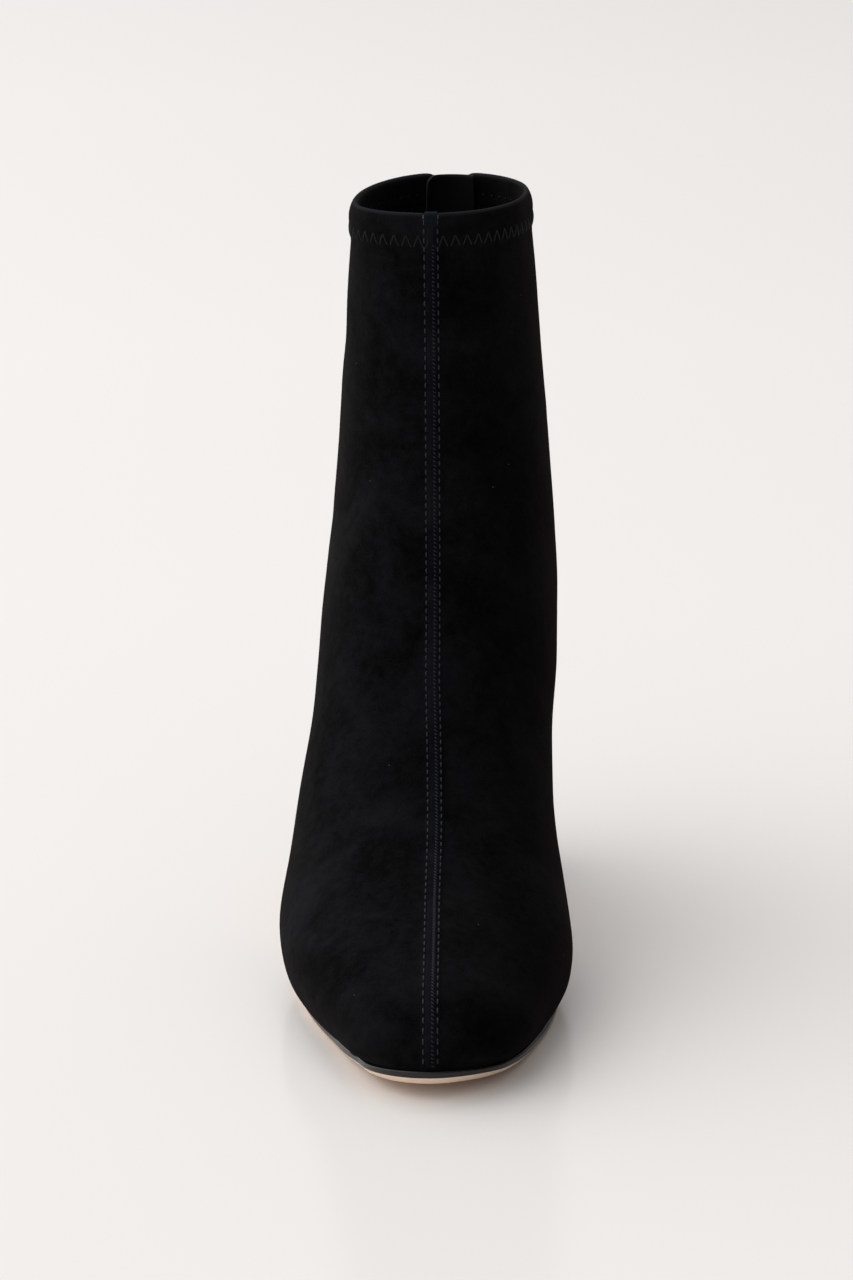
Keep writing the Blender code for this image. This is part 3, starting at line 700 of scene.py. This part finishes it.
def tape_cloth(name, colour, rib):
    """Woven polyester tape: close cross ribs, matt."""
    material, tree, shader = new_material(name)
    place = add_node(tree, "ShaderNodeTexCoord").outputs["Object"]
    weft, warp = [ribs(tree, place, rib, axis, WEAVE_WAVER) for axis in "ZX"]
    weave = add_node(tree, "ShaderNodeMath", {0: weft, 1: warp}, operation="MULTIPLY").outputs[0]
    tone = mixed(tree, weave, shade(colour, WEAVE_SHADE), linear(colour))
    tree.links.new(tone, shader.inputs["Base Color"])
    raise_by(tree, shader, weave, 0.5, WEAVE_DEPTH)
    shader.inputs["Roughness"].default_value = 0.85
    shader.inputs["Specular IOR Level"].default_value = 0.1
    return material


front_x = seam_x(RIM_MM)
rim_front = COLLAR_AXIS[1] - front_point(front_x, RIM_MM - HEM_PUFF_DROP / MM)[0][1]
drops = np.linspace(TAPE_END_DROP, TAPE_END_RIM_DROP, TAPE_END_COLUMNS)
tape_end = []
for offset in np.linspace(TAPE_END_HALF_WIDTH, -TAPE_END_HALF_WIDTH, TAPE_END_COLUMNS):
    angle = math.atan2(front_x + offset - COLLAR_AXIS[0], rim_front)
    outer = [collar_point(angle, RIM_MM - drop, True) for drop in drops]
    inner = [collar_point(angle, RIM_MM - drop, False) for drop in drops[::-1]]
    line = [p + n * TAPE_END_RAISE for p, n in outer]
    top = (outer[-1][0] + inner[0][0]) / 2
    top[2] = RIM_MM + TAPE_END_RAISE
    tape_end.append(line + [top] + [p + n * TAPE_END_RAISE for p, n in inner])
seam_tape = grid_mesh("seam_tape_end", np.array(tape_end), tape_cloth(
    "blue-black woven seam tape", TAPE_END_BLUE, TAPE_END_RIB))
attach(seam_tape, "boot")

ends = []
for side in (-1, 1):
    edge = front_x + side * (TAPE_END_HALF_WIDTH + TAPE_STITCH_GAP)
    high, normal = front_point(edge, RIM_MM - TAPE_STITCH_TOP)
    low, _ = front_point(edge, RIM_MM - TAPE_STITCH_FOOT)
    ends.append((high, low, normal))
tape_stitches = made_by(stitches, "seam_tape_stitches", *columns(ends), {
    **seam_thread, "Material": thread("pale grey polyester thread", TAPE_STITCH_GREY)})
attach(tape_stitches, "boot")

# Insole. A board covered with thin black sock leather, which the foot stands on.
# It is dropped in after lasting and glued down.
SOCK_BLACK = "#121110"
SOCK_GRAIN = 0.7
SOCK_ROUGHNESS = 0.5
SOCK_CREASE = 0.6
THIN_LEVELS = 1
GRAIN_DEPTH = 0.15
GRAINS_IN_CLOUD = 14
CLOUD_SHADE = 0.7
GLOSS_SPREAD = 0.08


def fine_leather(name, colour, grain, roughness):
    """Smooth dyed leather: close pebbled grain, a low satin gloss."""
    material, tree, shader = new_material(name)
    place = add_node(tree, "ShaderNodeTexCoord").outputs["Object"]
    cells = add_node(tree, "ShaderNodeTexVoronoi", {
        "Vector": place, "Scale": per_size(grain)}, feature="SMOOTH_F1")
    clouds = noise(tree, place, grain * GRAINS_IN_CLOUD, 3.0)
    tone = mixed(tree, clouds, shade(colour, CLOUD_SHADE), linear(colour))
    gloss = ranged(tree, clouds, roughness - GLOSS_SPREAD, roughness + GLOSS_SPREAD)
    tree.links.new(tone, shader.inputs["Base Color"])
    tree.links.new(gloss, shader.inputs["Roughness"])
    raise_by(tree, shader, cells.outputs["Distance"], 0.25, GRAIN_DEPTH)
    shader.inputs["Specular IOR Level"].default_value = 0.12
    return material


insole = rounded("insole", creased(quads_of("insole"), SOCK_CREASE), THIN_LEVELS, (
    fine_leather("black sock leather", SOCK_BLACK, SOCK_GRAIN, SOCK_ROUGHNESS),))
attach(insole, "boot")
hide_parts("insole")

# Outsole. Thin leather, cut to the last's outline and stuck on. Its edge is dyed black and
# burnished; the bevel under it and the tread stay bare and pale.
EDGE_BLACK = "#171514"
SOLE_BEIGE = "#ffe3cb"
SOLE_WORN = "#f6d5b8"
SOLE_FIBRE = 0.45
SOLE_FIBRE_DEPTH = 0.12
SOLE_CLOUD = 22.0
SOLE_CLOUD_LOW = 0.35
SOLE_CLOUD_HIGH = 0.75
SOLE_CREASE = 0.9
EDGE_WAVE = 4.0
EDGE_WAVE_DEPTH = 0.2
EDGE_SLOT = 1
UNDERSIDE_TURN = 0.35


def edge_dressing():
    """Edge ink on leather, ironed to a gloss: black, with a clear reflection and slight waves."""
    material, tree, shader = new_material("black burnished edge dressing")
    place = add_node(tree, "ShaderNodeTexCoord").outputs["Object"]
    raise_by(tree, shader, noise(tree, place, EDGE_WAVE, 2.0), 0.2, EDGE_WAVE_DEPTH)
    shader.inputs["Base Color"].default_value = linear(EDGE_BLACK)
    shader.inputs["Roughness"].default_value = 0.25
    shader.inputs["Specular IOR Level"].default_value = 0.25
    shader.inputs["Coat Weight"].default_value = 0.25
    shader.inputs["Coat Roughness"].default_value = 0.1
    return material


def bare_sole_leather():
    """Vegetable-tanned sole leather, undyed: warm beige, fine fibres, half matt."""
    material, tree, shader = new_material("bare beige sole leather")
    place = add_node(tree, "ShaderNodeTexCoord").outputs["Object"]
    clouds = noise(tree, place, SOLE_CLOUD, 4.0, {"Roughness": 0.6})
    tone = ranged(tree, clouds, 0.0, 1.0, SOLE_CLOUD_LOW, SOLE_CLOUD_HIGH)
    colour = mixed(tree, tone, linear(SOLE_BEIGE), linear(SOLE_WORN))
    tree.links.new(colour, shader.inputs["Base Color"])
    raise_by(tree, shader, noise(tree, place, SOLE_FIBRE, 4.0), 0.2, SOLE_FIBRE_DEPTH)
    shader.inputs["Roughness"].default_value = 0.5
    return material


bm = creased(quads_of("outsole"), SOLE_CREASE)
for face in bm.faces:
    if face.normal.z > -UNDERSIDE_TURN:
        face.material_index = EDGE_SLOT
outsole = rounded("outsole", bm, ROUND_LEVELS, (bare_sole_leather(), edge_dressing()))
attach(outsole, "boot")
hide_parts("outsole")

# Heel. A moulded block wrapped in the same suede, which is drawn tight and turned in at the
# breast. It is screwed to the boot from inside, under the insole.
HEEL_CREASE = 0.85
heel = rounded("heel", creased(quads_of("heel"), HEEL_CREASE), ROUND_LEVELS, (black_suede,))
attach(heel, "boot")
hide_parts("heel")

# Top piece. A moulded rubber lift, which takes the wear.
# It is pinned under the heel, with its edge trimmed flush.
RUBBER_BLACK = "#121212"
RUBBER_GRIT = 0.6
RUBBER_GRIT_DEPTH = 0.1
RUBBER_SMOOTH = 0.5
RUBBER_ROUGH = 0.75
LIFT_CREASE = 0.9


def lift_rubber():
    """Hard black rubber, moulded: matt, faintly speckled."""
    material, tree, shader = new_material("black moulded rubber")
    place = add_node(tree, "ShaderNodeTexCoord").outputs["Object"]
    grit = noise(tree, place, RUBBER_GRIT, 3.0)
    gloss = ranged(tree, grit, RUBBER_SMOOTH, RUBBER_ROUGH)
    tree.links.new(gloss, shader.inputs["Roughness"])
    raise_by(tree, shader, grit, 0.3, RUBBER_GRIT_DEPTH)
    shader.inputs["Base Color"].default_value = linear(RUBBER_BLACK)
    return material


bm = creased(quads_of("heel_top_piece"), LIFT_CREASE)
top_piece = rounded("heel_top_piece", bm, ROUND_LEVELS, (lift_rubber(),))
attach(top_piece, "boot")
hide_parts("heel_top_piece")

# Zip tape. Woven polyester, sewn in behind the edges of the slot at the back.
# Its two strips carry the teeth along their inner edges.
TAPE_BLACK = "#0d0d0f"
TAPE_RIB = 0.6
TAPE_CREASE = 0.7
zip_tape = rounded("zip_tape", creased(quads_of("zip_tape"), TAPE_CREASE), THIN_LEVELS, (
    tape_cloth("black woven zip tape", TAPE_BLACK, TAPE_RIB),))
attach(zip_tape, "boot")
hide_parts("zip_tape")

# Zip teeth. Small cast elements, clamped on the two tapes left and right in turn, so that they
# mesh when the slider has passed. A bar at the foot stops the slider there.
TOOTH_PITCH = 1.9
TOOTH_REACH = 2.4
TOOTH_LAP = 0.5
TOOTH_WIDTH = 0.9
TOOTH_HEIGHT = 1.5
STOP_TEETH = 2
GUNMETAL = "#47474b"
TEETH_ROUGHNESS = 0.4
METAL_WEAR = 2.0
WORN_SMOOTHER = 0.1
WORN_ROUGHER = 0.15


def dark_metal(name, colour, roughness):
    """Cast zinc with a dark plating: a dull metal gleam, worn a little unevenly."""
    material, tree, shader = new_material(name)
    place = add_node(tree, "ShaderNodeTexCoord").outputs["Object"]
    wear = noise(tree, place, METAL_WEAR, 4.0)
    gloss = ranged(tree, wear, roughness - WORN_SMOOTHER, roughness + WORN_ROUGHER)
    tree.links.new(gloss, shader.inputs["Roughness"])
    shader.inputs["Base Color"].default_value = linear(colour)
    shader.inputs["Metallic"].default_value = 1.0
    return material


def tooth_tree():
    """Node tree that lays one rounded tooth across each edge of a mesh."""
    tree, given = edge_tree("zip teeth", ("Width", "Height"))
    size = add_node(tree, "ShaderNodeCombineXYZ", {"X": 1.0, "Y": given["Width"], "Z": given["Height"]})
    block = add_node(tree, "GeometryNodeMeshCube", {"Size": size.outputs[0]})
    tooth = add_node(tree, "GeometryNodeSubdivisionSurface", {
        "Mesh": block.outputs["Mesh"], "Level": 2, "Edge Crease": 0.6})
    return lay_on_edges(tree, given, tooth.outputs["Mesh"])


chain_faces = face_finder(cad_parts["zip_chain"].data)
chain_low, chain_high = [corner.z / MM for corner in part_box("zip_chain")]
heights = np.arange(chain_high - TOOTH_WIDTH, chain_low + TOOTH_WIDTH, -SEAM_HEIGHT_STEP)
chain_line = np.array([wall_point(chain_faces, zip_x(z), z, 1)[0] for z in heights])
levels = np.interp(even_steps(chain_line, TOOTH_PITCH / 2), np.arange(len(heights)), heights)
teeth = []
for k, z in enumerate(levels):
    side = 1 if k % 2 else -1
    lap = TOOTH_REACH if k >= len(levels) - STOP_TEETH else TOOTH_LAP
    root, normal = wall_point(chain_faces, zip_x(z) + side * TOOTH_REACH, z, 1)
    tip, _ = wall_point(chain_faces, zip_x(z) - side * lap, z, 1)
    sunk = normal * TOOTH_HEIGHT / 2
    teeth.append((tip - sunk, root - sunk, normal))
zip_teeth = made_by(tooth_tree(), "zip_teeth", *columns(teeth), {
    "Width": TOOTH_WIDTH * MM, "Height": TOOTH_HEIGHT * MM,
    "Material": dark_metal("dark plated zip metal", GUNMETAL, TEETH_ROUGHNESS)})
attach(zip_teeth, "boot")
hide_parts("zip_chain")

# Zip guard. A strip of thin leather sewn in behind the zip, so that it doesn't rub the heel.
# Its outer top corner is cut round, and its edge is left raw and shows a little paler.
GUARD_BLACK = "#060607"
GUARD_GRAIN = 0.5
GUARD_ROUGHNESS = 0.6
GUARD_CREASE = 0.7
GUARD_CORNER = 3.4 * MM
GUARD_EDGE_RADIUS = 0.2
GUARD_EDGE_GREY = "#3c3d40"
GUARD_EDGE_FOOT = 120.0
GUARD_EDGE_STEPS = 160
HALVINGS = 12


def guard_edge(z):
    """Point just inside the guard's outer edge at a height, on its inner face, in millimetres."""
    miss, hit = zip_x(z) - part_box("zip_guard")[1].x / MM, zip_x(z)
    for _ in range(HALVINGS):
        middle = (miss + hit) / 2
        if guard_faces.ray_cast(Vector((middle * MM, 0, z * MM)), Vector((0, 1, 0)))[0] is None:
            miss = middle
        else:
            hit = middle
    return wall_point(guard_faces, hit, z, -1)[0]


def line_piece(name, points, radius, material):
    """Thin round line through a list of points in millimetres."""
    curve = bpy.data.curves.new(name, "CURVE")
    curve.dimensions = "3D"
    curve.bevel_depth = radius * MM
    curve.bevel_resolution = 2
    curve.use_fill_caps = True
    spline = curve.splines.new("POLY")
    spline.points.add(len(points) - 1)
    for place, point in zip(spline.points, points):
        place.co = (*(np.array(point) * MM), 1.0)
    outline = in_scene(name, curve)
    evaluated = outline.evaluated_get(bpy.context.evaluated_depsgraph_get())
    mesh = bpy.data.meshes.new_from_object(evaluated)
    bpy.data.objects.remove(outline)
    mesh.materials.append(material)
    return in_scene(name, mesh)


guard = rounded("zip_guard", creased(quads_of("zip_guard"), GUARD_CREASE), ROUND_LEVELS, (
    fine_leather("black guard leather", GUARD_BLACK, GUARD_GRAIN, GUARD_ROUGHNESS),))
places, _ = vertex_places(guard.data)
near_top = places[:, 2] > places[:, 2].max() - GUARD_CORNER
out = places[near_top, 0].min() + GUARD_CORNER - places[:, 0]
up = places[:, 2] - places[:, 2].max() + GUARD_CORNER
corner = near_top & (out > 0) & (up > 0)
share = np.maximum(out, up)[corner] / np.hypot(out, up)[corner]
places[corner, 0] += out[corner] * (1 - share)
places[corner, 2] -= up[corner] * (1 - share)
set_places(guard.data, places)
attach(guard, "boot")
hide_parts("zip_guard")

guard_faces = face_finder(guard.data)
guard_top = places[:, 2].max() / MM - GUARD_EDGE_RADIUS
rise = np.sin(np.linspace(0, math.pi / 2, GUARD_EDGE_STEPS))
raw_edge = [guard_edge(GUARD_EDGE_FOOT + (guard_top - GUARD_EDGE_FOOT) * share) for share in rise]
guard_line = line_piece("zip_guard_raw_edge", raw_edge, GUARD_EDGE_RADIUS, fine_leather(
    "grey raw leather edge", GUARD_EDGE_GREY, GUARD_GRAIN, GUARD_ROUGHNESS))
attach(guard_line, "boot")

# Zip slider. A cast body with two ears, which carries the pull on a pin between them.
# It runs on the teeth and stays at the top, where it closes the zip.
METAL_EDGE = 0.3
SLIDER_ROUGHNESS = 0.3
FLAT_TURN = math.radians(1)
BROKEN_TURN = math.radians(40)


def softened(name, node, width, material):
    """Piece of a hard frame node, with its edges broken by a small bevel."""
    bm = bmesh.new()
    bm.from_mesh(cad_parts[node].data)
    bmesh.ops.remove_doubles(bm, verts=bm.verts, dist=MERGE)
    bmesh.ops.dissolve_limit(bm, angle_limit=FLAT_TURN, verts=bm.verts, edges=bm.edges)
    piece = piece_of(name, bm, (material,))
    bevel = piece.modifiers.new("broken edges", "BEVEL")
    bevel.width = width * MM
    bevel.segments = 2
    bevel.limit_method = "ANGLE"
    bevel.angle_limit = BROKEN_TURN
    piece.modifiers.new("flat faces", "WEIGHTED_NORMAL")
    return applied(piece)


slider_metal = dark_metal("dark plated slider", GUNMETAL, SLIDER_ROUGHNESS)
slider = softened("zip_slider", "zip_slider", METAL_EDGE, slider_metal)
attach(slider, "boot")
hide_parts("zip_slider")

# Zip pull. A flat stamped tab with an eye, which hangs from the slider's pin.
# It lifts to be gripped and falls back against the zip.
pull_metal = dark_metal("dark plated pull", GUNMETAL, SLIDER_ROUGHNESS)
pull = softened("zip_pull", "zip_pull", METAL_EDGE, pull_metal)
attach(pull, "pull")
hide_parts("zip_pull")

# Back seam. A row of stitches runs down beside the slot, across under its foot and up again.
# Below the zip the halves are closed edge to edge, with the joint pressed flat.
ZIP_ROW = 7.0
ZIP_STITCH_PITCH = 2.66
ZIP_ROW_TOP = 237.0
ZIP_ROW_FOOT = 112.0
ZIP_ROW_CORNER = 4.0
CORNER_STEPS = 8
JOINT_HALF_WIDTH = 1.5
JOINT_COLUMNS = 12
JOINT_GROOVE = 0.3
JOINT_GROOVE_WIDTH = 0.35
JOINT_FOOT_Z = 88.0


def back_point(x, z):
    """Point and normal of the upper's back at x and z, in millimetres."""
    return wall_point(upper_faces, x, z, 1)


sides = np.arange(ZIP_ROW_TOP, ZIP_ROW_FOOT + ZIP_ROW_CORNER, -SEAM_HEIGHT_STEP)
half = [(ZIP_ROW, z) for z in sides]
for turn in np.linspace(0, math.pi / 2, CORNER_STEPS):
    x = ZIP_ROW - ZIP_ROW_CORNER * (1 - math.cos(turn))
    half.append((x, ZIP_ROW_FOOT + ZIP_ROW_CORNER * (1 - math.sin(turn))))
route = [(-x, z) for x, z in half] + half[::-1]
path = [back_point(zip_x(z) + x, z) for x, z in route]
zip_stitches = made_by(
    stitches, "zip_stitches", *stitch_row(path, ZIP_STITCH_PITCH), zigzag_thread)
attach(zip_stitches, "boot")

heights = np.arange(ZIP_ROW_FOOT, JOINT_FOOT_Z, -SEAM_STEP)
across = np.linspace(JOINT_HALF_WIDTH, -JOINT_HALF_WIDTH, JOINT_COLUMNS + 1)
lifts = JOINT_GROOVE * (1 - (across / JOINT_HALF_WIDTH) ** 2)
lifts -= SEAM_EDGE_SINK + JOINT_GROOVE * np.exp(-(across / JOINT_GROOVE_WIDTH) ** 2)
joint = []
for z in heights:
    line = [back_point(zip_x(z) + offset, z) for offset in across]
    joint.append([point + normal * lift for (point, normal), lift in zip(line, lifts)])
back_joint = grid_mesh("back_seam_joint", np.array(joint), black_suede)
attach(back_joint, "boot")

# Floor, light and camera. A white gloss table under a broad soft light, which is strongest above, on
# the left and behind the boot. The camera looks down on the toe, as in the photograph.
FLOOR_HALF = 60.0
FLOOR_WHITE = "#dedad7"
FLOOR_GLOW = "#fffdfb"
FLOOR_GLOW_STRENGTH = 0.012
FLOOR_GLOSS = 0.05
FLOOR_ROUGHNESS = 0.15
LIGHT_WHITE = "#ffffff"
LIGHT_HORIZON = 0.25
LIGHT_ZENITH = 1.49
LIGHT_FROM_LEFT = 0.92
LIGHT_LEFT_FOCUS = 1.6
LIGHT_FROM_BACK = 0.32
LIGHT_BACK_FOCUS = 2.0
CAMERA_PLACE = (0.0480, -1.1161, 0.432)
CAMERA_PITCH = 16.2
CAMERA_YAW = 2.36
CAMERA_LENS = 103.1
CAMERA_SENSOR = 36.0
floor_mesh = bpy.data.meshes.new("studio_floor")
floor_mesh.from_pydata(
    [(-FLOOR_HALF, -FLOOR_HALF, 0), (FLOOR_HALF, -FLOOR_HALF, 0), (FLOOR_HALF, FLOOR_HALF, 0),
     (-FLOOR_HALF, FLOOR_HALF, 0)], [], [(0, 1, 2, 3)])
floor = in_scene("studio_floor", floor_mesh)
floor_paint, tree, shader = new_material("white gloss table")
shader.inputs["Base Color"].default_value = linear(FLOOR_WHITE)
shader.inputs["Roughness"].default_value = FLOOR_ROUGHNESS
shader.inputs["Specular IOR Level"].default_value = FLOOR_GLOSS
shader.inputs["Emission Color"].default_value = linear(FLOOR_GLOW)
shader.inputs["Emission Strength"].default_value = FLOOR_GLOW_STRENGTH
floor_mesh.materials.append(floor_paint)

world = bpy.data.worlds.new("studio")
bpy.context.scene.world = world
world.use_nodes = True
tree = world.node_tree
way = add_node(tree, "ShaderNodeTexCoord").outputs["Generated"]
sides = add_node(tree, "ShaderNodeSeparateXYZ", {"Vector": way}).outputs
strength = ranged(tree, sides["Z"], LIGHT_HORIZON, LIGHT_ZENITH)
for side, slant, focus in (
        ("X", -LIGHT_FROM_LEFT, LIGHT_LEFT_FOCUS), ("Y", LIGHT_FROM_BACK, LIGHT_BACK_FOCUS)):
    slanted = ranged(tree, sides[side], 1 - slant, 1 + slant, -1.0)
    leaning = add_node(tree, "ShaderNodeMath", {0: slanted, 1: focus}, operation="POWER")
    strength = add_node(tree, "ShaderNodeMath", {
        0: strength, 1: leaning.outputs[0]}, operation="MULTIPLY").outputs[0]
tree.links.new(strength, tree.nodes["Background"].inputs["Strength"])
tree.nodes["Background"].inputs["Color"].default_value = linear(LIGHT_WHITE)
bpy.context.scene.view_settings.view_transform = "Standard"

camera_data = bpy.data.cameras.new("camera")
camera_data.sensor_fit = "VERTICAL"
camera_data.sensor_height = CAMERA_SENSOR
camera_data.lens = CAMERA_LENS
camera = in_scene("camera", camera_data)
camera.location = CAMERA_PLACE
level = Matrix.Rotation(math.radians(90 - CAMERA_PITCH), 3, "X")
camera.rotation_euler = (level @ Matrix.Rotation(math.radians(CAMERA_YAW), 3, "Y")).to_euler()
bpy.context.scene.camera = camera
